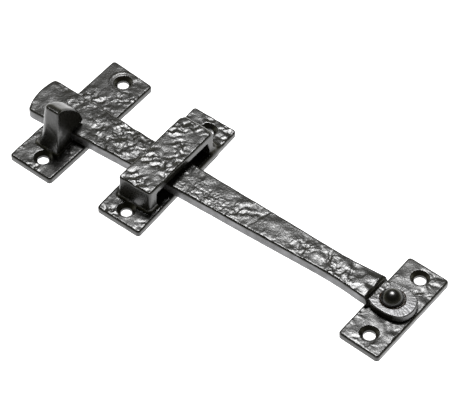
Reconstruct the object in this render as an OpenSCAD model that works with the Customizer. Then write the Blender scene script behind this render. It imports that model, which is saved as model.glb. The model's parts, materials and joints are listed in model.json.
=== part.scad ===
// Pivoting bar latch set: a flat bar turns on a domed rivet, passes through a guide
// staple and drops behind the hook of a keep plate.
//
// Millimetres. The origin is the middle of the pivot plate's two screw holes, on its back
// face. The bar runs from the rivet towards -X, its tip lifts towards +Y, and +Z points
// away from the door. All three plates stand on the plane z = 0.

/* [Back plates] */
// Thickness of the three back plates
plate_t = 3; // [2:0.1:4]
// Radius of the plates' corners
corner_r = 1.2; // [0.4:0.1:2]
// Width of the pivot plate, along the bar
pivot_plate_w = 18.7; // [16:0.1:22]
// Length of the pivot plate, across the bar
pivot_plate_l = 45.6; // [43:0.1:60]
// How far the pivot plate stands off the middle of its holes, away from the lifting side
pivot_plate_shift = 0.7; // [0:0.1:1]
// Width of the staple's and the keep's plates, along the bar
long_plate_w = 20.9; // [17:0.1:24]
// Length of the staple's plate, across the bar
staple_plate_l = 63.4; // [60:0.1:76]
// Length of the keep's plate, across the bar
keep_plate_l = 62.7; // [60:0.1:76]
// Slant of the near and the far short edge of the pivot plate, in degrees
pivot_slants = [2.7, 1.6]; // [0:0.1:6]
// Slant of the near and the far short edge of the staple's plate, in degrees
staple_slants = [3.2, 2.4]; // [0:0.1:6]
// Slant of the near and the far short edge of the keep's plate, in degrees
keep_slants = [1.4, 4.1]; // [0:0.1:6]
// Turn of the pivot plate's, the staple's and the keep's outline about its middle, in degrees
plate_turns = [-0.4, 1.7, -0.9]; // [-3:0.1:3]
// How far the staple's and the keep's plates stand off their holes, towards the bar's tip
long_plate_drift = 0.4; // [0:0.1:1]

/* [Screw holes] */
// Diameter of a screw hole
screw_d = 4.6; // [3.6:0.1:5]
// Diameter of a countersink at the plate's front face
sink_d = 7.6; // [6.6:0.1:8]
// Distance between the pivot plate's holes
pivot_hole_gap = 32.4; // [30:0.1:34]
// Distance between the staple's holes
staple_hole_gap = 50.6; // [48:0.1:52]
// Distance between the keep's holes
keep_hole_gap = 49.2; // [48:0.1:52]

/* [Rivet] */
// How far the rivet stands from the middle of the pivot plate, towards the tip
rivet_shift = 1.2; // [0:0.1:3]
// Diameter of the rivet's shank
shank_d = 5; // [4:0.1:6]
// Diameter of the rivet's domed head
head_d = 9.3; // [7:0.1:10]
// Height of the rivet's domed head
head_h = 3.7; // [2:0.1:3.8]
// Running clearance of the shank in the eye, on the radius
eye_play = 0.05; // [0.02:0.01:0.1]

/* [Bar] */
// Distance from the rivet to the end of the tip
bar_l = 168.5; // [166:0.5:172]
// Thickness of the bar
bar_t = 4.6; // [3:0.1:5]
// Length of the eye, along the bar
eye_d = 19.2; // [17:0.1:20]
// Width of the eye, across the bar: its sides are flatter than a circle's
eye_w = 16.6; // [14:0.1:20]
// How far the eye's face lies below the bar's face
eye_step = 1.7; // [0.2:0.1:2]
// Distance from the rivet to the straight step between eye and bar
step_x = 7.1; // [6.5:0.1:8]
// Width of the bar at the step
step_w = 13.6; // [11:0.1:14]
// Width of the bar at its narrow neck
neck_w = 11; // [8:0.1:12]
// Width of the bar half way along
waist_w = 13.4; // [11:0.1:14]
// Width of the bar behind the staple, towards the keep
guide_w = 15.4; // [13:0.1:16]
// Width of the bar at its tip
tip_w = 19.2; // [17:0.1:20]
// How far the bar's middle line runs off the rivet's axis, away from the lifting side
bar_drift = 0.4; // [0:0.1:1]
// Radius of the rounded end
tip_r = 24; // [20:0.5:40]
// How far the rounded end leans towards the lifting side
tip_lean = 1.5; // [0:0.1:2]

/* [Staple] */
// Distance from the rivet to the middle of the staple's plate
staple_x = 106.2; // [100:0.1:110]
// How far the middle of the staple's holes lies above the bar's axis
staple_y = 1.6; // [0:0.1:2]
// How far the staple's plate stands off the middle of its holes, towards the lifting side
staple_plate_shift = 0.3; // [0:0.1:1]
// Width of the bridge, along the bar
bridge_w = 15.3; // [10:0.1:16]
// Length of the bridge over both legs, at the top
bridge_l = 39.5; // [39:0.1:40]
// Free width between the legs
opening_w = 32.2; // [30:0.1:33]
// Free height between the bar's face and the bridge
bridge_gap = 2.2; // [1:0.1:8]
// Thickness of the bridge
bridge_t = 3.5; // [2:0.1:5]
// How far each leg's outer face flares out from the bridge to the plate
leg_draft = 0.5; // [0:0.1:1]
// How far the arch stands off the middle of its plate, towards the rivet
arch_shift_x = 0.6; // [0:0.1:1.5]
// How far the arch stands off the middle of its plate, away from the lifting side
arch_shift_y = 1.3; // [0:0.05:2]
// How far the opening stands off the middle of the arch, towards the lifting side
opening_shift = 0.65; // [0:0.05:1]

/* [Keep] */
// Distance from the rivet to the middle of the keep's plate
keep_x = 148; // [144:0.1:150]
// How far the middle of the keep's holes lies above the bar's axis
keep_y = 2.1; // [0:0.1:3]
// How far the keep's plate stands off the middle of its holes, away from the lifting side
keep_plate_shift = 0.3; // [0:0.1:1]
// How far the hook stands off the middle of its plate, towards the tip
hook_shift = 0.3; // [0:0.1:1]
// Width of the hook at the plate, along the bar
hook_base_w = 8.7; // [7:0.1:10]
// Width of the hook at its top: the side towards the bar's tip leans in
hook_top_w = 7; // [4:0.1:8]
// Depth of the hook's post, from its outer face to the bar
post_d = 7.6; // [7:0.1:9]
// Reach of the nose over the bar, from the outer face
nose_reach = 14.2; // [12:0.1:16]
// Height of the nose's tip over the back face
nose_z = 10.1; // [9:0.1:12]
// Gap between the nose's underside and the bar
nose_gap = 1.1; // [0.4:0.1:3]
// Depth of the flat crest at the hook's top
crest_d = 1.8; // [1:0.1:3]
// Height of the hook over the back face
hook_h = 25.3; // [23:0.1:30]

/* [Hidden] */
$fn = 96;

rest_gap = 0.1; // the bar's gap to the plates under it and to the hook beside it
fillet = 1.2; // foot of the legs and of the post
over = 1; // how far a cutter runs past a face
big = 80; // larger than any section that is cut
crest_edge = 0.4; // bevel of the crest's outer edge
nose_tip = 1; // thickness of the nose at its tip
// Points of the ramp, as parts of the nose's reach and of the crest's height over the nose
ramp = [[0.35, 0.82], [0.62, 0.57], [0.86, 0.28]];

// The bar's faces, and the heights that follow from them
bar_z0 = plate_t + rest_gap;
bar_z1 = bar_z0 + bar_t;
eye_z1 = bar_z1 - eye_step;
bridge_z0 = bar_z1 + bridge_gap;
bridge_z1 = bridge_z0 + bridge_t;

// The rivet: its seat over the eye, and the tail peened into the back of the plate
head_z0 = eye_z1 + rest_gap / 2;
dome_r = (head_h * head_h + head_d * head_d / 4) / (2 * head_h);
tail_flare = 1;
rivet_squeeze = 0.01;

// Widths of the bar at distances from the rivet
bar_widths = [
    [step_x, step_w],
    [28, neck_w],
    [77, waist_w],
    [118, guide_w],
    [bar_l, tip_w],
];
tip_centre = bar_l - tip_r;

// The hook's inner face stands beside the bar's lower edge
hook_x = keep_x + hook_shift;
post_y1 = -half_width(hook_x + hook_base_w / 2) - bar_drift - rest_gap;
post_y0 = post_y1 - post_d;

// Half the bar's width at distance x from the rivet
function half_width(x) = lookup(x, bar_widths) / 2;

// Moves its children from the rivet's axis to a place along and across the bar
module at_bar(x, y = 0) {
    translate([-rivet_shift - x, y, 0]) children();
}

// Extrudes a profile of [y, z] points along X, centred on x = 0
module along_x(width, points) {
    translate([-width / 2, 0, 0])
        rotate([90, 0, 90])
            linear_extrude(width)
                polygon(points);
}

// A flat plate with rounded corners, centred on the origin and turned by an angle. Before
// that turn its short edges slant by slants[0] at the -Y end and slants[1] at the +Y end,
// lower towards +X.
module plate_blank(w, l, slants, turn) {
    ends = [for (c = [[-1, 0], [1, 0], [1, 1], [-1, 1]]) let(
        side = 2 * c[1] - 1,
        slant = slants[c[1]],
        x = c[0] * (w / 2 - corner_r),
        y = side * (l / 2 - corner_r / cos(slant)) - x * tan(slant)
    ) [x, y, c[0], side, slant]];
    rotate([0, 0, turn])
        linear_extrude(plate_t) {
            polygon([for (e = ends) [e[0] + e[2] * corner_r, e[1]]]);
            polygon([for (e = ends)
                [e[0], e[1]] + e[3] * corner_r * [sin(e[4]), cos(e[4])]]);
            for (e = ends)
                translate([e[0], e[1]]) circle(r = corner_r);
        }
}

// The cutters for two countersunk screw holes, a distance gap apart
module screw_cutters(gap) {
    sink_h = (sink_d - screw_d) / 2;
    for (sy = [-1, 1])
        translate([0, sy * gap / 2, 0]) {
            translate([0, 0, -over])
                cylinder(d = screw_d, h = plate_t + 2 * over);
            translate([0, 0, plate_t - sink_h])
                cylinder(d1 = screw_d, d2 = sink_d, h = sink_h);
            translate([0, 0, plate_t])
                cylinder(d = sink_d, h = over);
        }
}

// Shank and peened tail, grown by extra on the radius
module rivet_stem(top, extra) {
    stem_r = shank_d / 2 + extra;
    cylinder(r = stem_r, h = top);
    cylinder(r1 = stem_r + tail_flare, r2 = stem_r, h = tail_flare);
}

module pivot_plate() {
    color([0.13, 0.13, 0.14])
        difference() {
            translate([0, -pivot_plate_shift, 0])
                plate_blank(pivot_plate_w, pivot_plate_l, pivot_slants, plate_turns[0]);
            screw_cutters(pivot_hole_gap);
            at_bar(0) rivet_stem(plate_t + over, 0);
        }
}

module pivot_rivet() {
    color([0.09, 0.09, 0.09])
        at_bar(0) {
            intersection() {
                rivet_stem(head_z0 + over, rivet_squeeze);
                translate([-big / 2, -big / 2, 0]) cube([big, big, plate_t]);
            }
            cylinder(d = shank_d, h = head_z0 + over);
            intersection() {
                translate([0, 0, head_z0 + head_h - dome_r]) sphere(r = dome_r);
                translate([0, 0, head_z0]) cylinder(r = dome_r + over, h = head_h + over);
            }
        }
}

// The bar's sides, from the step to past the tip
module bar_sides() {
    sides = [for (s = bar_widths) [-s[0], s[1] / 2]];
    far_sides = [for (i = [len(sides) - 1 : -1 : 0]) [sides[i][0], -sides[i][1]]];
    translate([0, -bar_drift]) polygon(concat(sides, far_sides));
}

module latch_bar() {
    color([0.17, 0.17, 0.18])
        at_bar(0)
            difference() {
                union() {
                    intersection() {
                        translate([0, 0, bar_z0])
                            cylinder(d = eye_d, h = bar_t - eye_step);
                        translate([-eye_d, -eye_w / 2, 0])
                            cube([2 * eye_d, eye_w, bar_z1]);
                    }
                    intersection() {
                        translate([0, 0, bar_z0]) linear_extrude(bar_t) bar_sides();
                        union() {
                            translate([-tip_centre, tip_lean, 0])
                                cylinder(r = tip_r, h = bar_z1 + over);
                            translate([-tip_centre, -big / 2, 0])
                                cube([tip_centre, big, bar_z1 + over]);
                        }
                    }
                }
                cylinder(r = shank_d / 2 + eye_play, h = bar_z1 + over);
            }
}

// The bridge with its two legs, flaring out to the plate and filleted at their feet
module staple_arch() {
    top_y = bridge_l / 2;
    foot_y = top_y + leg_draft;
    in_y0 = opening_shift - opening_w / 2;
    in_y1 = opening_shift + opening_w / 2;
    toe_z = plate_t + fillet;
    difference() {
        along_x(bridge_w, [
            [-foot_y - fillet, plate_t - over], [-foot_y - fillet, plate_t],
            [-foot_y, toe_z], [-top_y, bridge_z1], [top_y, bridge_z1],
            [foot_y, toe_z], [foot_y + fillet, plate_t], [foot_y + fillet, plate_t - over],
        ]);
        along_x(bridge_w + 2 * over, [
            [in_y0, plate_t], [in_y0, bridge_z0], [in_y1, bridge_z0], [in_y1, plate_t],
        ]);
    }
}

module staple_plate() {
    color([0.12, 0.12, 0.13])
        at_bar(staple_x, staple_y)
            difference() {
                union() {
                    translate([-long_plate_drift, staple_plate_shift, 0])
                        plate_blank(long_plate_w, staple_plate_l, staple_slants, plate_turns[1]);
                    translate([arch_shift_x, -arch_shift_y, 0]) staple_arch();
                }
                screw_cutters(staple_hole_gap);
            }
}

// The hook's profile in [y, z]: post, crest, convex ramp, and a nose over the bar
function hook_profile() = let(
    under_z = bar_z1 + nose_gap,
    nose_y = post_y0 + nose_reach,
    rise = hook_h - nose_z
) [
    [post_y0 - fillet, plate_t - over],
    [post_y0 - fillet, plate_t],
    [post_y0, plate_t + fillet],
    [post_y0, hook_h - crest_edge],
    [post_y0 + crest_edge, hook_h],
    [post_y0 + crest_d, hook_h],
    for (r = ramp) [post_y0 + r[0] * nose_reach, nose_z + r[1] * rise],
    [nose_y, nose_z],
    [nose_y - nose_tip, nose_z - nose_tip],
    [post_y1 + fillet, under_z],
    [post_y1, under_z - fillet],
    [post_y1, plate_t - over],
];

// The hook, the side towards the bar's tip leaning in
module hook() {
    base_x = hook_base_w / 2;
    intersection() {
        along_x(hook_base_w, hook_profile());
        translate([0, big / 2, 0])
            rotate([90, 0, 0])
                linear_extrude(big)
                    polygon([
                        [-base_x, 0], [-base_x, plate_t],
                        [base_x - hook_top_w, hook_h + over], [base_x, hook_h + over], [base_x, 0],
                    ]);
    }
}

module keep_plate() {
    color([0.1, 0.1, 0.11])
        difference() {
            union() {
                at_bar(keep_x + long_plate_drift, keep_y - keep_plate_shift)
                    plate_blank(long_plate_w, keep_plate_l, keep_slants, plate_turns[2]);
                at_bar(hook_x) hook();
            }
            at_bar(keep_x, keep_y) screw_cutters(keep_hole_gap);
        }
}

pivot_plate();
pivot_rivet();
latch_bar();
staple_plate();
keep_plate();
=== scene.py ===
"""Looks for the pivoting bar latch set: five lumpy black castings on a pale floor.

Each CAD node is replaced by a dense mesh of the same piece. A piece is written as a signed
distance field in millimetres, in the CAD's own axes, and meshed on a fine grid, so that its
rounded edges, fillets, countersinks and lumpy skin are all real geometry.
"""

import json
import math
from functools import reduce

import bpy
import numpy as np
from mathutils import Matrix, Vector


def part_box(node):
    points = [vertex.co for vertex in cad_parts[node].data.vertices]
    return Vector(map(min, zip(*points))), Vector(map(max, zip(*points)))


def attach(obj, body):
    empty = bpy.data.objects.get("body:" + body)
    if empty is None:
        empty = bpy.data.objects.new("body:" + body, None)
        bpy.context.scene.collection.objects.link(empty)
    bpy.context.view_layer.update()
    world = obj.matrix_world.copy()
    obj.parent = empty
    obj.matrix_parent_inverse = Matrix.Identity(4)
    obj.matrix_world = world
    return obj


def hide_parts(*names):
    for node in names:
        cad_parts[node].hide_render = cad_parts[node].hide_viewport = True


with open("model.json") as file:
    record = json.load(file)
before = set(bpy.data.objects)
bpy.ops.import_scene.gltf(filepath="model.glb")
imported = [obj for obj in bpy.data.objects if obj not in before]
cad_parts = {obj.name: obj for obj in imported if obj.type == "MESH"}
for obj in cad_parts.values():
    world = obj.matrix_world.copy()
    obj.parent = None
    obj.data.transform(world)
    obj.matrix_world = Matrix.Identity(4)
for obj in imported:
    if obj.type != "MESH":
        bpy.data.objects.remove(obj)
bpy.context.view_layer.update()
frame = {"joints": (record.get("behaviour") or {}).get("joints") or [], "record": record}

MM = 0.001


# ---------------------------------------------------------------- places read from the frame

def box_mm(node):
    """Lowest and highest corner of a CAD node, in millimetres."""
    low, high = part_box(node)
    return np.array(low) / MM, np.array(high) / MM


def screw_rows():
    """Each screw pattern's centre, hole spacing and hole radius, in millimetres."""
    rows = {}
    for mount in frame["record"]["mounts"]:
        if mount["kind"] == "bolt_pattern":
            centre = np.array(mount["pos_m"]) / MM
            dims = mount["dims"]
            rows[mount["name"]] = (centre, dims["spacing_y_mm"], dims["hole_r_mm"])
    return rows


SCREWS = screw_rows()
RIVET_X = frame["joints"][0]["pos_m"][0] / MM
PIVOT_X = SCREWS["pivot_screws"][0][0]
STAPLE_X, STAPLE_Y, _ = SCREWS["staple_screws"][0]
KEEP_X, KEEP_Y, _ = SCREWS["keep_screws"][0]
PIVOT_BOX = box_mm("pivot_plate")
RIVET_BOX = box_mm("pivot_rivet")
BAR_BOX = box_mm("latch_bar")
STAPLE_BOX = box_mm("staple_plate")
KEEP_BOX = box_mm("keep_plate")
PLATE_T = PIVOT_BOX[1][2]
BAR_UNDER = BAR_BOX[0][2]
BAR_TOP = BAR_BOX[1][2]
BRIDGE_TOP = STAPLE_BOX[1][2]
HOOK_TOP = KEEP_BOX[1][2]


# ---------------------------------------------------------------- distance fields

def overlap(*fields):
    """The space inside every one of the fields."""
    return reduce(np.maximum, fields)


def round_max(a, b, r):
    """The space inside both a and b, its edge rounded to radius r."""
    u = np.maximum(a + r, 0)
    v = np.maximum(b + r, 0)
    return np.minimum(np.maximum(a, b), -r) + np.hypot(u, v)


def round_min(a, b, r):
    """The space inside a or b, with a fillet of radius r where they meet."""
    return -round_max(-a, -b, r)


def between(value, low, high):
    """Distance outside the slab from low to high."""
    return np.maximum(low - value, value - high)


def rise(value, start, end):
    """0 up to start, 1 from end on, and straight between them."""
    return np.clip((value - start) / (end - start), 0, 1)


def above_zero(value, ease):
    """The value where it is above 0 and nearly 0 elsewhere, eased over the turn."""
    return 0.5 * (value + np.hypot(value, ease))


def turned(x, y, degrees):
    """x and y along axes that are turned by some degrees."""
    a = math.radians(degrees)
    return x * math.cos(a) + y * math.sin(a), y * math.cos(a) - x * math.sin(a)


def gradient_noise(x, y, cell, seed):
    """Smooth noise of about -1 to 1, with features of the size of cell."""
    size = 64
    gain = 1.5
    angle = np.random.default_rng(seed).random((size, size)) * 2 * np.pi
    u, v = np.broadcast_arrays(x / cell, y / cell)
    i, j = np.floor(u).astype(int), np.floor(v).astype(int)
    fu, fv = u - i, v - j
    su, sv = (f * f * f * (f * (f * 6 - 15) + 10) for f in (fu, fv))
    total = 0
    for di in (0, 1):
        for dj in (0, 1):
            a = angle[(i + di) % size, (j + dj) % size]
            slope = np.cos(a) * (fu - di) + np.sin(a) * (fv - dj)
            weight = np.abs(1 - di - su) * np.abs(1 - dj - sv)
            total = total + weight * slope
    return total * gain


def blurred(grid, radius):
    """A grid of heights, smoothed over about radius cells, with its edge repeated outwards."""
    reach = int(2.5 * radius)
    steps = np.arange(-reach, reach + 1)
    weights = np.exp(-0.5 * (steps / radius) ** 2)
    weights = weights / weights.sum()
    for axis in (0, 1):
        pad = [(reach, reach) if a == axis else (0, 0) for a in (0, 1)]
        wide = np.pad(grid, pad, mode="edge")
        length = grid.shape[axis]
        grid = sum(w * np.take(wide, np.arange(k, k + length), axis)
                   for k, w in enumerate(weights))
    return grid


# ---------------------------------------------------------------- cast skin

class Skin:
    """A casting's lumpy face, worked out once on a fine grid of x and y, in millimetres.

    size is the width of a lump. lump, crest, knob, swell and grain are the heights of the
    lumps, of the ridges between them, of finer knobs, of broad waves and of the finest grain.
    patch is the width of the rougher and calmer areas, and turn the way that the lumps are
    drawn out, in degrees. calm lists (x, y, radius) spots where the face is nearly smooth,
    fade scales the lumps over the face, and extra adds a piece's own marks."""

    STEP = 0.1
    MARGIN = 1
    MEAN_DEPTH = 0.15
    FLAT_EASE = 0.06

    DRAWN_OUT = 1.15
    WARP = 0.25
    WARP_CELL = 1.4
    RIDGE_CELL = 1.15
    RIDGE_W = 0.22
    SHELF = 0.1
    SHELF_EASE = 0.2
    WAVE_CELL = 5.5
    GRAIN_CELLS = (0.8, 0.45)
    CALMED = 0.9

    RUB_REACH = 1.3
    RUB_HEIGHT = 0.3

    def __init__(self, box, seed, size, lump, crest, knob, grain, swell, patch=8.0, turn=40,
                 calm=(), fade=None, extra=None):
        self.seed = seed
        self.low = np.array(box[0][:2]) - self.MARGIN
        count = np.ceil((np.array(box[1][:2]) + self.MARGIN - self.low) / self.STEP)
        count = count.astype(int) + 1
        x = self.low[0] + self.STEP * np.arange(count[0])[:, None]
        y = self.low[1] + self.STEP * np.arange(count[1])[None, :]
        rough = self.roughness(x, y, patch, calm)
        if fade:
            rough = rough * fade(x, y)
        height = rough * self.lumps(x, y, turn, size, lump, crest, knob)
        height = height + swell * self.noise(x, y, self.WAVE_CELL, 3)
        height = height + grain * (0.5 + 0.5 * rough) * self.grains(x, y)
        if extra:
            height = height + extra(x, y)
        above = blurred(height, 1.0) - blurred(height, self.RUB_REACH / self.STEP)
        self.wear = np.clip(0.3 + above / self.RUB_HEIGHT, 0, 1)
        self.depth = above_zero(self.MEAN_DEPTH - height, self.FLAT_EASE)

    def noise(self, x, y, cell, stream):
        """One of the skin's own streams of noise."""
        return gradient_noise(x, y, cell, self.seed + stream)

    def roughness(self, x, y, patch, calm):
        """How much of the lumps is left, from 0 to 1."""
        rough = np.clip(0.6 + 1.3 * self.noise(x, y, patch, 8), 0.2, 1)
        for cx, cy, radius in calm:
            spot = np.exp(-(np.hypot(x - cx, y - cy) / radius) ** 4)
            rough = rough * (1 - self.CALMED * spot)
        return rough

    def lumps(self, x, y, turn, size, lump, crest, knob):
        """Mounds with dents between them, creased ridges and knobs."""
        u, v = turned(x, y, turn)
        warp_cell = self.WARP_CELL * size
        u = u / self.DRAWN_OUT + self.WARP * size * self.noise(x, y, warp_cell, 1)
        v = v + self.WARP * size * self.noise(x, y, warp_cell, 2)
        mound = self.noise(u, v, size, 4)
        ridge = np.exp(-(self.noise(u, v, self.RIDGE_CELL * size, 6) / self.RIDGE_W) ** 2)
        dent = -above_zero(-(mound + self.SHELF), self.SHELF_EASE)
        height = lump * (0.45 * mound + 0.8 * dent) + crest * ridge * (0.5 + 0.7 * mound)
        return height + knob * self.noise(u, v, 0.5 * size, 5)

    def grains(self, x, y):
        """The finest texture, of about -1 to 1."""
        coarse, fine = self.GRAIN_CELLS
        return self.noise(x, y, coarse, 7) + 0.7 * self.noise(x, y, fine, 9)

    def look_up(self, grid, x, y):
        """The grid's value at x and y, straight between its points."""
        i = np.clip((x - self.low[0]) / self.STEP, 0, grid.shape[0] - 1.001)
        j = np.clip((y - self.low[1]) / self.STEP, 0, grid.shape[1] - 1.001)
        i0, j0 = i.astype(int), j.astype(int)
        fi, fj = i - i0, j - j0
        near = grid[i0, j0] * (1 - fi) + grid[i0 + 1, j0] * fi
        far = grid[i0, j0 + 1] * (1 - fi) + grid[i0 + 1, j0 + 1] * fi
        return near * (1 - fj) + far * fj

    def __call__(self, x, y):
        """Depth below the flat face."""
        return self.look_up(self.depth, x, y)

    def wear_at(self, x, y):
        """0 in the hollows, up to 1 on the ridges, where the paint is rubbed smooth."""
        return self.look_up(self.wear, x, y)


# ---------------------------------------------------------------- meshing

CELL = 0.26
AXES = np.eye(3, dtype=int)
CORNERS = [(i, j, k) for i in (0, 1) for j in (0, 1) for k in (0, 1)]
SETTLING_ROUNDS = 2
PROBE = 0.02
LONGEST_PULL = 0.3
LEAST_STEEPNESS = 0.25


def sampled(field, low, high, cell):
    """The field's values on a grid of the given cell, and the grid's first point."""
    axes = [np.arange(lo - 2 * cell, hi + 3 * cell, cell) for lo, hi in zip(low, high)]
    values = np.broadcast_to(field(*np.ix_(*axes)), [len(a) for a in axes])
    return np.ascontiguousarray(values), np.array([a[0] for a in axes])


def crossed_cells(inside):
    """The cells that the surface passes through, and a grid of their numbers."""
    shape = np.array(inside.shape) - 1
    count = sum(inside[tuple(slice(c, c + n) for c, n in zip(corner, shape))].astype(np.int8)
                for corner in CORNERS)
    cells = np.argwhere((count > 0) & (count < len(CORNERS)))
    number = np.full(shape, -1)
    number[tuple(cells.T)] = np.arange(len(cells))
    return cells, number


def net_points(values, cells):
    """A point for each cell, in the middle of the places where the surface cuts its edges."""
    points = np.zeros((len(cells), 3))
    hits = np.zeros(len(cells))
    for axis, step in enumerate(AXES):
        for corner in CORNERS:
            if corner[axis] == 1:
                continue
            start = cells + np.array(corner)
            a = values[tuple(start.T)]
            b = values[tuple((start + step).T)]
            cut = (a < 0) != (b < 0)
            t = np.where(cut, a / np.where(cut, a - b, 1), 0)
            points += (np.array(corner) + t[:, None] * step) * cut[:, None]
            hits += cut
    return cells + points / hits[:, None]


def net_quads(inside, number):
    """A quad round each grid edge that the surface cuts, facing outwards."""
    quads = []
    for axis in range(3):
        step, side, up = np.roll(AXES, -axis, axis=0)
        ends = np.array(inside.shape) - step
        a = inside[:ends[0], :ends[1], :ends[2]]
        b = inside[step[0]:, step[1]:, step[2]:]
        for flip, edges in ((False, np.argwhere(a & ~b)), (True, np.argwhere(~a & b))):
            ring = [edges - side - up, edges - up, edges, edges - side]
            quad = np.stack([number[tuple(r.T)] for r in ring], 1)
            quads.append(quad[:, ::-1] if flip else quad)
    return np.concatenate(quads)


def surface_net(field, low, high, cell):
    """Vertices and quads of the field's zero surface, on a grid of the given cell."""
    values, origin = sampled(field, low, high, cell)
    inside = values < 0
    cells, number = crossed_cells(inside)
    return origin + net_points(values, cells) * cell, net_quads(inside, number)


def pulled(field, points):
    """The points, moved along the field's slope on to its zero surface."""
    slope = np.stack([
        field(*(points + PROBE * axis).T) - field(*(points - PROBE * axis).T)
        for axis in AXES], 1) / (2 * PROBE)
    steepness = np.maximum((slope * slope).sum(1), LEAST_STEEPNESS)
    pull = np.clip(field(*points.T) / steepness, -LONGEST_PULL, LONGEST_PULL)
    return points - pull[:, None] * slope


def settled(field, vertices, quads):
    """The net's vertices, evened out and pulled on to the field's zero surface."""
    links = np.concatenate([quads[:, [k, (k + 1) % 4]] for k in range(4)])
    degree = np.bincount(links.ravel(), minlength=len(vertices))[:, None]
    vertices = pulled(field, vertices)
    for _ in range(SETTLING_ROUNDS):
        total = np.zeros_like(vertices)
        for axis in range(3):
            place = vertices[:, axis]
            for here, there in (links.T, links.T[::-1]):
                total[:, axis] += np.bincount(here, place[there], len(vertices))
        vertices = pulled(field, 0.5 * vertices + 0.5 * total / degree)
    return pulled(field, vertices)


def link(name, data):
    """A new object in the scene that shows the given data."""
    obj = bpy.data.objects.new(name, data)
    bpy.context.scene.collection.objects.link(obj)
    return obj


def cast_mesh(name, vertices, quads, rubbed, material):
    """A smooth-shaded mesh, with its material and the wear of each vertex."""
    mesh = bpy.data.meshes.new(name)
    mesh.vertices.add(len(vertices))
    mesh.vertices.foreach_set("co", (vertices * MM).astype(np.float32).ravel())
    mesh.loops.add(quads.size)
    mesh.loops.foreach_set("vertex_index", quads.astype(np.int32).ravel())
    mesh.polygons.add(len(quads))
    mesh.polygons.foreach_set("loop_start", np.arange(0, quads.size, 4, dtype=np.int32))
    mesh.polygons.foreach_set("use_smooth", np.ones(len(quads), bool))
    mesh.update(calc_edges=True)
    mesh.validate()
    mesh.attributes.new("wear", "FLOAT", "POINT").data.foreach_set("value", rubbed)
    mesh.materials.append(material)
    return mesh


def build_piece(node, field, box, body, material, wear=None, cell=CELL):
    """Meshes a field, and makes it the piece that stands for a CAD node."""
    vertices, quads = surface_net(field, *box, cell)
    vertices = settled(field, vertices, quads)
    vertices[:, 2] = np.maximum(vertices[:, 2], 0)
    rubbed = wear(*vertices.T) if wear else np.zeros(len(vertices))
    name = node + "_cast"
    piece = link(name, cast_mesh(name, vertices, quads, rubbed, material))
    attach(piece, body)
    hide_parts(node)


# ---------------------------------------------------------------- plates

EDGE_R = 0.85
CORNER_R = 1.5
SINK_R = 3.8
SINK_RIM_R = 0.15
WAVER = 0.03
WIDE_PLATE_W = 20.9
WIDE_PLATE_DRIFT = 0.4


def waver(x, y, cell, seed):
    """How far an outline wanders inwards from its true line."""
    return WAVER * (1 + gradient_noise(x, y, cell, seed))


def plate_field(x, y, z, skin, seed, middle, size, slants, turn):
    """A back plate: slanted short ends, rounded corners and a lumpy face.

    middle and size are the outline's, slants are its near and far ends' and turn is its
    own, in degrees."""
    near, far = (math.tan(math.radians(s)) for s in slants)
    u, v = turned(x - middle[0], y - middle[1], turn)
    sides = np.abs(u) - size[0] / 2
    ends = np.maximum(-size[1] / 2 - near * u - v, v - size[1] / 2 + far * u)
    outline = round_max(sides, ends, CORNER_R) + waver(x, y, 6, seed)
    face = z - (PLATE_T - skin(x, y))
    return np.maximum(round_max(outline, face, EDGE_R), -z)


def drill(field, x, y, z, screws, skin_over=0.0):
    """Cuts the two countersunk holes of a screw pattern.

    skin_over is how much the paint and the casting's skin take off a hole's radius."""
    centre, spacing, hole_r = screws
    hole_r = hole_r - skin_over
    sink_floor = PLATE_T - (SINK_R - hole_r)
    for side in (-1, 1):
        rho = np.hypot(x - centre[0], y - centre[1] - side * spacing / 2)
        cone = (rho - SINK_R + (PLATE_T - z)) / math.sqrt(2)
        cone = overlap(cone, rho - SINK_R, sink_floor - z)
        bore = np.minimum(rho - hole_r, cone)
        field = round_max(field, -bore, SINK_RIM_R)
    return field


# ---------------------------------------------------------------- pivot plate and rivet

EYE_TOP = BAR_TOP - 1.7
SHANK_R = 2.5
SHANK_GAP = 0.1
TAIL_FLARE = 1.0
HEAD_R = 4.4
HEAD_OFF = (-0.2, -0.05)
HEAD_GAP = 0.02
HEAD_RIM_R = 0.1

PIVOT_OUTLINE = {"middle": (PIVOT_X, -0.7), "size": (18.7, 45.6), "slants": (2.7, 1.6),
                 "turn": -0.4}
PIVOT_SKIN = Skin(PIVOT_BOX, 110, size=3.3, lump=0.31, crest=-0.12, knob=0.05, grain=0.012,
                  swell=0.16, calm=((PIVOT_X - 6, 19, 5),))


def pivot_plate(x, y, z):
    """The plate under the eye, with a hole for the rivet that opens out at the back."""
    plate = plate_field(x, y, z, PIVOT_SKIN, 115, **PIVOT_OUTLINE)
    plate = drill(plate, x, y, z, SCREWS["pivot_screws"])
    clear = np.hypot(x - RIVET_X, y) - SHANK_R - SHANK_GAP
    hole = np.minimum(clear, clear - TAIL_FLARE + z)
    return np.maximum(plate, -hole)


def pivot_rivet(x, y, z):
    """The shank, its peened tail, and a domed head that stands a little off its axis."""
    top = RIVET_BOX[1][2]
    head_z = EYE_TOP + HEAD_GAP
    head_h = top - head_z
    dome_r = (head_h ** 2 + HEAD_R ** 2) / (2 * head_h)
    off_axis = np.hypot(x - RIVET_X - HEAD_OFF[0], y - HEAD_OFF[1])
    dome = np.hypot(off_axis, z - (top - dome_r)) - dome_r
    dome = dome + 0.02 * (1 + gradient_noise(x, y, 3.0, 7))
    head = round_max(dome, head_z - z, HEAD_RIM_R)
    rho = np.hypot(x - RIVET_X, y)
    shank = overlap(rho - SHANK_R, -z, z - head_z - 1)
    tail = overlap(rho - SHANK_R - TAIL_FLARE + z, -z, z - TAIL_FLARE)
    return np.minimum(head, np.minimum(shank, tail))


# ---------------------------------------------------------------- bar

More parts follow.
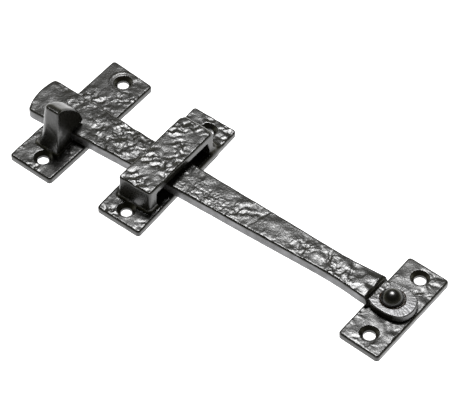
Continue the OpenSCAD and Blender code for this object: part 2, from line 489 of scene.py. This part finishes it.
EYE_R = 9.55
EYE_HALF_W = 8.2
EYE_CORNER_R = 4.0
EYE_EDGE_R = 0.5
EYE_DRAFTS = (0.05, 0.14)
GROOVE_R = 4.5
GROOVE_DEPTH = 0.42
STEP_S = 7.1
STEP_RUN = 0.42
TIP_R = 24.0
TIP_LEAN = 1.5
TIP_CORNER_R = 1.4
BAR_DRIFT = 0.4
NIBBLE = 0.12
UNDER_EDGE_R = 0.3

# The bar's width at distances from the rivet: it narrows to a waist and widens to the tip.
BAR_WIDTHS = ((0, 14.2), (7.1, 13.6), (13, 12.6), (20, 11.4), (28, 11.1), (40, 11.7), (60, 12.8),
              (77, 13.4), (95, 14.2), (118, 15.4), (140, 17.1), (168.5, 19.2))

# Creases across the bar: distance from the pivot plate's middle, lean, width and depth.
CREASES = ((62.6, -0.25, 0.7, 0.6), (20, 0.3, 0.6, 0.7))

# Nearly smooth spots on the bar: distance from the pivot plate's middle, y and radius.
BAR_CALM = ((56, 2, 5), (82, 1, 9), (15, 3, 5), (164, 0, 9))


def bar_half_width(s):
    """Half the bar's width at distance s from the rivet, without corners between stations."""
    stations, widths = np.array(BAR_WIDTHS).T
    ease = 4.0
    taps = (-1, -0.5, 0, 0.5, 1)
    weights = (1, 2, 3, 2, 1)
    total = sum(w * np.interp(s + t * ease, stations, widths) for t, w in zip(taps, weights))
    return total / sum(weights) / 2


def by_hook(x):
    """1 between the hook and the staple, and 0 on the rest of the bar."""
    return np.exp(-((PIVOT_X - x - 126) / 16) ** 4)


def bar_fade(x, y):
    """The bar's lumps die away towards its far edge, and give way to craters by the hook."""
    along = PIVOT_X - x
    before_staple = rise(along, 8, 16) * rise(along, 96, 88)
    return 1 - 0.75 * before_staple * rise(y, 0.5, 4.5) - 0.6 * by_hook(x)


def bar_creases(x, y):
    """Depth of the creases across the bar, from 0 to about 1."""
    bend = 0.8 * gradient_noise(x, y, 3.0, 260)
    return sum(depth * np.exp(-((x - PIVOT_X + at + lean * y + bend) / width) ** 2)
               for at, lean, width, depth in CREASES)


def bar_crumple(x, y):
    """Fine crumpling on the staple's near side and by the hook."""
    crumple = gradient_noise(x, y, 1.3, 261) + 0.6 * gradient_noise(x, y, 0.8, 262)
    by_staple = np.exp(-((PIVOT_X - x - 84) / 15) ** 2) * np.clip(0.6 - 0.12 * y, 0.2, 1)
    return crumple * (by_staple + 0.55 * by_hook(x))


def bar_waves(x, y):
    """Broad waves by the eye, and craters by the hook."""
    waves = rise(PIVOT_X - x, 34, 24) * gradient_noise(x, y, 4.0, 263)
    craters = 1.4 * gradient_noise(x, y, 4.9, 264) + 0.35 * gradient_noise(x, y, 1.7, 269)
    return waves + by_hook(x) * craters


def bar_marks(x, y):
    """The bar's few large marks, and a crown that drops to its far edge."""
    height = 0.09 * bar_crumple(x, y) + 0.26 * bar_waves(x, y) - 0.16 * bar_creases(x, y)
    return height - 0.002 * np.maximum(y + 1, 0) ** 2


def eye_marks(x, y):
    """Fine scratches that run outwards over the eye's face, and crumbs beside the step."""
    dx = x - RIVET_X
    turn = np.arctan2(y, dx)
    scratch = gradient_noise(15 * turn, 0.3 * np.hypot(dx, y), 1.0, 265)
    beside = rise(-dx, 3, 5) * np.clip((y + 5) / 3, 0.3, 1)
    crumb = gradient_noise(x, y, 1.1, 266) + 0.5 * gradient_noise(x, y, 0.6, 267)
    return 0.045 * scratch * (1 - beside) + 0.10 * beside * crumb


BAR_SKIN = Skin(BAR_BOX, 210, size=2.4, lump=0.27, crest=0.06, knob=0.06, grain=0.03,
                swell=0.16, patch=11, turn=70, fade=bar_fade, extra=bar_marks,
                calm=[(PIVOT_X - at, y, radius) for at, y, radius in BAR_CALM])
EYE_SKIN = Skin(BAR_BOX, 260, size=1.6, lump=0.03, crest=0.01, knob=0.01, grain=0.007,
                swell=0.04, extra=eye_marks)


def bar_strip(x, y, z):
    """The bar from its tip to the step above the eye."""
    s = RIVET_X - x
    tip_s = RIVET_X - BAR_BOX[0][0] - TIP_R
    nibbled = NIBBLE * np.clip(gradient_noise(x, y, 3.0, 216), 0, 1) * (y < 0)
    sides = np.abs(y + BAR_DRIFT) - bar_half_width(s) + waver(x, y, 9, 215) + nibbled
    tip = np.hypot(np.maximum(s - tip_s, 0), y - TIP_LEAN) - TIP_R
    step = (STEP_S + STEP_RUN * (z - EYE_TOP) - s) / math.hypot(1, STEP_RUN)
    outline = round_max(sides, tip, TIP_CORNER_R)
    outline = round_max(outline, step, 0.25)
    strip = round_max(outline, z - (BAR_TOP - BAR_SKIN(x, y)), EDGE_R)
    return round_max(strip, BAR_UNDER - z, UNDER_EDGE_R)


def bar_eye(x, y, z):
    """The eye: longer than it is wide, a little drafted, with a groove round the rivet."""
    rho = np.hypot(x - RIVET_X, y)
    end = rho - EYE_R + EYE_DRAFTS[0] * (z - BAR_UNDER)
    sides = np.abs(y) - EYE_HALF_W + EYE_DRAFTS[1] * (z - BAR_UNDER)
    eye = round_max(end, sides, EYE_CORNER_R)
    eye = round_max(eye, z - (EYE_TOP + 0.05 - EYE_SKIN(x, y)), EYE_EDGE_R)
    eye = round_max(eye, BAR_UNDER - z, UNDER_EDGE_R)
    groove = np.hypot(rho - GROOVE_R, z - EYE_TOP) - GROOVE_DEPTH
    return round_max(eye, -groove, 0.12)


def latch_bar(x, y, z):
    """The strip and the eye in one, bored for the rivet's shank."""
    bar = round_min(bar_strip(x, y, z), bar_eye(x, y, z), 0.3)
    return np.maximum(bar, SHANK_R + 0.05 - np.hypot(x - RIVET_X, y))


# ---------------------------------------------------------------- staple

BRIDGE_W = 15.3
BRIDGE_T = 3.5
BRIDGE_DRIFT = 0.6
ARCH_FACES = (-19.45, 20.65)
ARCH_CORNER_RS = (1.3, 2.0)
ARCH_OPENING = (-15.15, 16.1)
OPENING_CORNER_R = 0.7
OPENING_EDGE_R = 0.35
LEG_DRAFTS = (0.05, 0.04)
FAR_INSIDE_DRAFT = 0.27
FOOT_FILLETS = (1.6, 2.8)
ROOF_EDGE_R = 0.8
FAR_ROOF_EDGE_R = 1.8
STUB_R = 1.2
STUB_STRETCH = 0.7
STUB_X = STAPLE_X + 5.2
STUB_Y = STAPLE_BOX[0][1] + 1.32

STAPLE_OUTLINE = {"middle": (STAPLE_X - WIDE_PLATE_DRIFT, STAPLE_Y + 0.3),
                  "size": (WIDE_PLATE_W, 63.4), "slants": (3.2, 2.4), "turn": 1.7}
STAPLE_SKIN = Skin(STAPLE_BOX, 310, size=2.4, lump=0.34, crest=0.06, knob=0.05, grain=0.02,
                   swell=0.12, calm=((STAPLE_X + 3.4, -27, 6),))
BRIDGE_SKIN = Skin(STAPLE_BOX, 350, size=2.3, lump=0.38, crest=0.06, knob=0.06, grain=0.025,
                   swell=0.12)


def staple_opening(y, z):
    """The way through for the bar, wider at the foot of the far leg than at its top."""
    roof = BRIDGE_TOP - BRIDGE_T
    far_inside = ARCH_OPENING[1] + FAR_INSIDE_DRAFT * (roof - z)
    across = np.maximum(ARCH_OPENING[0] - y, y - far_inside)
    opening = round_max(across, between(z, PLATE_T - 3, roof), OPENING_CORNER_R)
    return np.maximum(opening, PLATE_T - 1 - z)


def staple_arch(x, y, z):
    """The bridge and its two drafted legs, down into the plate."""
    near_face = ARCH_FACES[0] - LEG_DRAFTS[0] * (BRIDGE_TOP - z)
    far_face = ARCH_FACES[1] + LEG_DRAFTS[1] * (BRIDGE_TOP - z)
    sides = np.abs(x - STAPLE_X - BRIDGE_DRIFT) - BRIDGE_W / 2
    ends = np.maximum(near_face - y, y - far_face)
    outline = round_max(sides, ends, np.where(y < 0, *ARCH_CORNER_RS))
    outline = outline + waver(x, y, 6, 355)
    by_far_face = rise(y - far_face, -2.6, -1.4)
    roof_edge_r = ROOF_EDGE_R + (FAR_ROOF_EDGE_R - ROOF_EDGE_R) * by_far_face
    arch = round_max(outline, z - (BRIDGE_TOP - BRIDGE_SKIN(x, y)), roof_edge_r)
    arch = round_max(arch, -staple_opening(y, z), OPENING_EDGE_R)
    return np.maximum(arch, 1 - z)


def staple_plate(x, y, z):
    """The plate with its arch, and a casting stub at its near end."""
    plate = plate_field(x, y, z, STAPLE_SKIN, 315, **STAPLE_OUTLINE)
    stub = np.hypot((x - STUB_X) * STUB_STRETCH, np.hypot(y - STUB_Y, z - STUB_R)) - STUB_R
    plate = round_min(plate, stub, 0.4)
    whole = round_min(plate, staple_arch(x, y, z), np.where(y < 0, *FOOT_FILLETS))
    return drill(whole, x, y, z, SCREWS["staple_screws"], 0.2)


# ---------------------------------------------------------------- keep

HOOK_X = (KEEP_X - 5.4, KEEP_X + 4.05)
HOOK_LEAN = 1.7
HOOK_EDGE_R = 0.9
POST_Y = (-17.8, -9.5)
POST_DROP = 8
POST_EDGE_R = 0.5
INNER_EDGE_RS = (2.4, 3.0)
FOOT_FLARE = 2.2
FOOT_REACH = 3.2
FOOT_SHARES = (0.4, 0.03)
DRAWN_BACK = 0.0045
DRAWN_BACK_FROM = 9
CREST_D = 2.6
CREST_R = 0.8
RAMP_R = 21.5
NOSE = (-2.5, 10.1)
NOSE_R = 0.4
NOSE_UNDER = 8.9
NOSE_SLANT = 0.30
BAR_GAP = 0.4

KEEP_OUTLINE = {"middle": (KEEP_X - WIDE_PLATE_DRIFT, KEEP_Y - 0.3),
                "size": (WIDE_PLATE_W, 62.7), "slants": (1.4, 4.1), "turn": -0.9}


def far_hole_rim(x, y):
    """A raised lip that runs part of the way round the keep's far hole."""
    dx = x - KEEP_X
    dy = y - KEEP_Y - SCREWS["keep_screws"][1] / 2
    lip = np.exp(-((np.hypot(dx, dy) - 5.2) / 0.5) ** 2)
    return 0.12 * lip * np.clip(0.3 - dx / 4, 0, 1)


KEEP_SKIN = Skin(KEEP_BOX, 410, size=2.2, lump=0.27, crest=0.06, knob=0.06, grain=0.025,
                 swell=0.11, calm=((KEEP_X - 7.8, 26, 11), (KEEP_X + 7.2, -26, 5)),
                 extra=far_hole_rim)


def hook_profile(y, z):
    """The hook from the side: a post, a convex ramp and a pointed nose, undercut to the bar."""
    crest = np.array((POST_Y[0] + CREST_D, HOOK_TOP))
    chord = np.array(NOSE) - crest
    half = np.linalg.norm(chord) / 2
    inward = np.array((chord[1], -chord[0])) / (2 * half)
    centre = (crest + NOSE) / 2 + inward * math.sqrt(RAMP_R ** 2 - half ** 2)
    ramp = np.hypot(y - centre[0], z - centre[1]) - RAMP_R
    ramp = round_max(ramp, z - HOOK_TOP, CREST_R)
    under = np.maximum(NOSE_UNDER + NOSE_SLANT * (y - NOSE[0]), BAR_TOP + BAR_GAP)
    head = round_max(ramp, under - z, NOSE_R)
    post = np.maximum(y - POST_Y[1], z - HOOK_TOP + POST_DROP)
    return round_min(head, post, 0.8)


def keep_hook(x, y, z):
    """The hook: its profile, on a column that leans and spreads at the foot."""
    height = z - PLATE_T
    foot = FOOT_FLARE * np.exp(-np.maximum(height, 0) / FOOT_REACH)
    lean = HOOK_LEAN / (HOOK_TOP - PLATE_T)
    inner_side = HOOK_X[0] - x + lean * height - foot
    drawn_back = DRAWN_BACK * np.maximum(height - DRAWN_BACK_FROM, 0) ** 2
    front = POST_Y[0] - y + drawn_back - FOOT_SHARES[0] * foot
    outer_side = x - HOOK_X[1] - FOOT_SHARES[1] * foot
    profile = round_max(hook_profile(y, z), inner_side, INNER_EDGE_RS[0])
    column = round_max(front, inner_side, INNER_EDGE_RS[1])
    column = round_max(column, outer_side, POST_EDGE_R)
    hook = round_max(profile, column, HOOK_EDGE_R)
    lumps = gradient_noise(x + z, y - 0.6 * z, 4, 417)
    lumps = lumps + 0.4 * gradient_noise(x + z, y - 0.6 * z, 1.6, 418)
    return np.maximum(hook + 0.05 * (1 + lumps), 1 - z)


def keep_plate(x, y, z):
    """The plate with its hook."""
    plate = plate_field(x, y, z, KEEP_SKIN, 415, **KEEP_OUTLINE)
    whole = round_min(plate, keep_hook(x, y, z), 1.0)
    return drill(whole, x, y, z, SCREWS["keep_screws"], 0.1)


# ---------------------------------------------------------------- wear

SMOOTH_WALL = -0.4
RUSTED = -0.8
FACE_BAND = (-0.7, 0.3)


def face_wear(*faces):
    """Wear over a piece: smooth walls, and (skin, height) faces rubbed as their skins say."""
    def wear(x, y, z):
        total = np.full(x.shape, SMOOTH_WALL)
        for skin, height in faces:
            on_face = between(z - height, *FACE_BAND) < 0
            total = np.where(on_face, skin.wear_at(x, y), total)
        return total
    return wear


def eye_face_wear(x, y, worn):
    """The eye's face: rusty by the rivet, painted beside the step, worn bare elsewhere, with
    painted shade to its far side.
    """
    patchy = gradient_noise(x, y, 1.2, 268)
    rusted = np.hypot(x - RIVET_X, y) < GROOVE_R + 0.5 + 0.3 * patchy
    painted = (x < RIVET_X - 4.6 + 0.8 * patchy) & (y > patchy - 4.5)
    # Painted shade: the face is made less bare, and so darker, towards its far side.
    scuffed_and_shaded = 1.3 + worn - 0.35 * rise(y, 0, 7)
    return np.where(rusted, RUSTED, np.where(painted, 0.3 * patchy, scuffed_and_shaded))


def bar_wear(x, y, z):
    """The bar's own skin, its sides with a painted sheen of bare-iron colour, and the eye's face.
    """
    s = RIVET_X - x
    by_eye = s < STEP_S
    # Painted sheen: the walls take bare-iron colour so that they look lighter, the eye's wall more
    # so towards its +X end.
    eye_wall_sheen = 0.4 + 1.2 * rise(x - PIVOT_X, 1, 5)
    bar_wall_sheen = 1.75 + 0.4 * gradient_noise(x, z, 4.0, 270)
    wall_top = np.where(by_eye, EYE_TOP - 0.4, BAR_TOP - 0.7)
    on_wall = (z > BAR_UNDER + 0.3) & (z < wall_top) & (np.abs(s - STEP_S) > 1.2)
    on_eye_face = by_eye & (z > EYE_TOP - 0.4)
    worn = face_wear((BAR_SKIN, BAR_TOP), (EYE_SKIN, EYE_TOP))(x, y, z)
    on_eye = eye_face_wear(x, y, worn)
    worn = np.where(on_wall, np.where(by_eye, eye_wall_sheen, bar_wall_sheen), worn)
    return np.where(on_eye_face, on_eye, worn)


# ---------------------------------------------------------------- materials

WHITE = (1, 1, 1, 1)
# Bare iron, also used as the painted sheen on the bar's walls.
BARE_IRON_AND_WALL_SHEEN = (0.15, 0.15, 0.155, 1)
RUST_SPOTS = (0.060, 0.030, 0.017, 1)
RUST_RING = (0.040, 0.020, 0.009, 1)
BARE_ROUGHNESS = 0.36
WALL_ROUGHNESS = 0.26
BUMP_DEPTH = 0.00012
FLOOR_GLOW = 2.0


class Nodes:
    """A small helper for building the node tree of a material or a world."""

    def __init__(self, owner):
        owner.use_nodes = True
        self.tree = owner.node_tree
        self.tree.nodes.clear()

    def fill(self, socket, value):
        """Links an input socket to another socket, or sets its value."""
        if isinstance(value, bpy.types.NodeSocket):
            self.tree.links.new(value, socket)
        else:
            socket.default_value = value

    def add(self, kind, inputs=None, **settings):
        node = self.tree.nodes.new(kind)
        for key, value in settings.items():
            setattr(node, key, value)
        for key, value in (inputs or {}).items():
            self.fill(node.inputs[key], value)
        return node

    def calculate(self, operation, a, b):
        return self.add("ShaderNodeMath", {0: a, 1: b}, operation=operation).outputs[0]

    def noise(self, place, scale, detail, roughness=0.55):
        inputs = {"Vector": place, "Scale": scale, "Detail": detail, "Roughness": roughness}
        return self.add("ShaderNodeTexNoise", inputs).outputs["Fac"]

    def remap(self, value, low, high, out_low, out_high):
        inputs = {"Value": value, "From Min": low, "From Max": high,
                  "To Min": out_low, "To Max": out_high}
        return self.add("ShaderNodeMapRange", inputs).outputs["Result"]

    def mix(self, factor, a, b):
        node = self.add("ShaderNodeMix", data_type="RGBA")
        for key, value in (("Factor", factor), ("A", a), ("B", b)):
            self.fill([s for s in node.inputs if s.name == key and s.enabled][0], value)
        return [o for o in node.outputs if o.enabled][0]


def iron_colour(n, place, wear, bare, paint, rust):
    """Clouded black paint with spots of rust, a rusty ring, and bare iron, whose colour is also a
    painted sheen on the bar's walls.
    """
    deep = tuple(0.7 * c for c in paint)
    pale = tuple(1.4 * c + 0.002 for c in paint)
    cloud = n.noise(place, 260, 5)
    colour = n.mix(n.remap(cloud, 0.35, 0.7, 0, 1), (*deep, 1), (*pale, 1))
    spots = n.remap(n.noise(place, 90, 6, 0.7), 0.62, 0.75, 0, rust)
    colour = n.mix(spots, colour, RUST_SPOTS)
    colour = n.mix(n.remap(wear, -0.5, -0.9, 0, 1), colour, RUST_RING)
    return n.mix(bare, colour, BARE_IRON_AND_WALL_SHEEN)


def iron_roughness(n, wear, roughness):
    """Duller in hollows than on ridges, smoother on walls, and dullest where bare."""
    dullness = n.remap(wear, 0, 1, roughness + 0.05, roughness - 0.04)
    dullness = n.remap(wear, 1, 1.5, dullness, BARE_ROUGHNESS)
    return n.remap(wear, 0, SMOOTH_WALL, dullness, WALL_ROUGHNESS)


def black_iron(name, paint, roughness, grain, rust, shine=0.5):
    """Semi-gloss black paint over cast iron: fine grain, rubbed ridges, a breath of rust.

    The mesh's wear runs from 0 in hollows to 1 on rubbed ridges, and to 2 on bare faces and on
    walls with a painted sheen.
    Below 0 it is a smooth wall, at SMOOTH_WALL, and then rust, down to -1."""
    material = bpy.data.materials.new(name)
    n = Nodes(material)
    place = n.add("ShaderNodeTexCoord").outputs["Object"]
    wear = n.add("ShaderNodeAttribute", attribute_name="wear").outputs["Fac"]
    # bare also mixes in the painted sheen of the bar's walls.
    bare = n.remap(wear, 1, 2, 0, 1)
    pits = n.add("ShaderNodeTexVoronoi", {"Vector": place, "Scale": 1500}).outputs["Distance"]
    height = n.calculate("ADD", n.noise(place, 2600, 4), pits)
    bump = n.add("ShaderNodeBump", {"Height": height, "Strength": grain, "Distance": BUMP_DEPTH})
    shader = n.add("ShaderNodeBsdfPrincipled", {
        "Base Color": iron_colour(n, place, wear, bare, paint, rust),
        "Metallic": bare,
        "Roughness": iron_roughness(n, wear, roughness),
        "IOR": 1.5,
        "Specular IOR Level": shine,
        "Normal": bump.outputs["Normal"],
    })
    n.add("ShaderNodeOutputMaterial", {"Surface": shader.outputs["BSDF"]})
    return material


def floor_material():
    """A pale table that glows a little, so that it hardly takes a shadow."""
    material = bpy.data.materials.new("pale_floor")
    n = Nodes(material)
    shader = n.add("ShaderNodeBsdfPrincipled", {
        "Base Color": (0.02, 0.02, 0.02, 1),
        "Roughness": 0.9,
        "Emission Color": WHITE,
        "Emission Strength": FLOOR_GLOW,
    })
    n.add("ShaderNodeOutputMaterial", {"Surface": shader.outputs["BSDF"]})
    return material


# ---------------------------------------------------------------- stage, light and camera

FLOOR_HALF = 3.0
FLOOR_Z = -0.0002

CAMERA_AZIMUTH = 37.24
CAMERA_ELEVATION = 49.67
CAMERA_DISTANCE = 1.099
CAMERA_TARGET = Vector((-0.0775, 0.0017, 0))
LENS = 227
SENSOR = 36

KEY_TARGET = Vector((-0.08, 0, 0))
ROOM_GLOW = 0.02
HORIZON_GLOW = 0.25
SWEEP_GLOW = 2.0
ROOM_TINT = (1, 0.97, 0.62, 1)


def polar(azimuth, elevation):
    """Unit vector towards an azimuth, counted from -Y towards +X, and an elevation, in degrees."""
    a, e = math.radians(azimuth), math.radians(elevation)
    return Vector((math.sin(a) * math.cos(e), -math.cos(a) * math.cos(e), math.sin(e)))


def aim(obj, target, azimuth, elevation, distance):
    """Puts a light or a camera at a distance from the target, looking at it."""
    direction = polar(azimuth, elevation)
    obj.location = target + direction * distance
    obj.rotation_mode = "QUATERNION"
    obj.rotation_quaternion = direction.to_track_quat("Z", "Y")


def add_floor():
    mesh = bpy.data.meshes.new("floor")
    corners = [(-1, -1), (1, -1), (1, 1), (-1, 1)]
    points = [(FLOOR_HALF * x, FLOOR_HALF * y, FLOOR_Z) for x, y in corners]
    mesh.from_pydata(points, [], [(0, 1, 2, 3)])
    mesh.materials.append(floor_material())
    link("floor", mesh)


def add_softbox(azimuth, elevation, distance, size, power):
    light = bpy.data.lights.new("key", "AREA")
    light.shape = "SQUARE"
    light.size = size
    light.energy = power
    aim(link("key", light), KEY_TARGET, azimuth, elevation, distance)


def add_world():
    """White to the camera; to the object, a dark room with a dim horizon and a pale sweep
    low down behind it."""
    world = bpy.data.worlds.new("studio")
    bpy.context.scene.world = world
    n = Nodes(world)
    ray = n.add("ShaderNodeTexCoord").outputs["Generated"]
    up = n.add("ShaderNodeSeparateXYZ", {0: ray}).outputs["Z"]
    behind = n.add("ShaderNodeVectorMath", {0: ray, 1: -polar(CAMERA_AZIMUTH, 0)},
                   operation="DOT_PRODUCT").outputs["Value"]
    low = n.remap(up, 0.05, 0.36, 1, 0)
    sweep = n.calculate("MULTIPLY", low, n.remap(behind, -0.2, 0.5, 0, 1))
    room_glow = n.remap(up, 0.3, 0.6, HORIZON_GLOW, ROOM_GLOW)
    glow = n.remap(sweep, 0, 1, room_glow, SWEEP_GLOW)
    tint = n.mix(sweep, ROOM_TINT, WHITE)
    room = n.add("ShaderNodeBackground", {"Strength": glow, "Color": tint})
    sheet = n.add("ShaderNodeBackground", {"Strength": 1.0, "Color": WHITE})
    seen = n.add("ShaderNodeLightPath").outputs["Is Camera Ray"]
    both = n.add("ShaderNodeMixShader", {0: seen, 1: room.outputs[0], 2: sheet.outputs[0]})
    n.add("ShaderNodeOutputWorld", {"Surface": both.outputs[0]})


def add_camera():
    data = bpy.data.cameras.new("camera")
    data.sensor_width = SENSOR
    data.lens = LENS
    data.clip_start = 0.01
    camera = link("camera", data)
    aim(camera, CAMERA_TARGET, CAMERA_AZIMUTH, CAMERA_ELEVATION, CAMERA_DISTANCE)
    bpy.context.scene.camera = camera


# ---------------------------------------------------------------- the scene

PAINT = (0.0050, 0.0048, 0.0034)
RIVET_PAINT = (0.0026, 0.0025, 0.0018)

PLATE_IRON = black_iron("plate_iron", PAINT, roughness=0.27, grain=0.16, rust=0.10)
BAR_IRON = black_iron("bar_iron", PAINT, roughness=0.27, grain=0.19, rust=0.15)
RIVET_BLACK = black_iron("rivet_black", RIVET_PAINT, roughness=0.21, grain=0.02, rust=0.12,
                         shine=0.55)

build_piece("pivot_plate", pivot_plate, PIVOT_BOX, "fixed_plates", PLATE_IRON,
            face_wear((PIVOT_SKIN, PLATE_T)))
build_piece("pivot_rivet", pivot_rivet, RIVET_BOX, "fixed_plates", RIVET_BLACK,
            cell=0.18)
build_piece("latch_bar", latch_bar, BAR_BOX, "bar", BAR_IRON, bar_wear)
build_piece("staple_plate", staple_plate, STAPLE_BOX, "fixed_plates", PLATE_IRON,
            face_wear((STAPLE_SKIN, PLATE_T), (BRIDGE_SKIN, BRIDGE_TOP)))
build_piece("keep_plate", keep_plate, KEEP_BOX, "fixed_plates", PLATE_IRON,
            face_wear((KEEP_SKIN, PLATE_T)))

add_floor()
add_world()
add_softbox(azimuth=218, elevation=68, distance=2.0, size=0.60, power=60)
add_camera()
bpy.context.scene.view_settings.view_transform = "Standard"
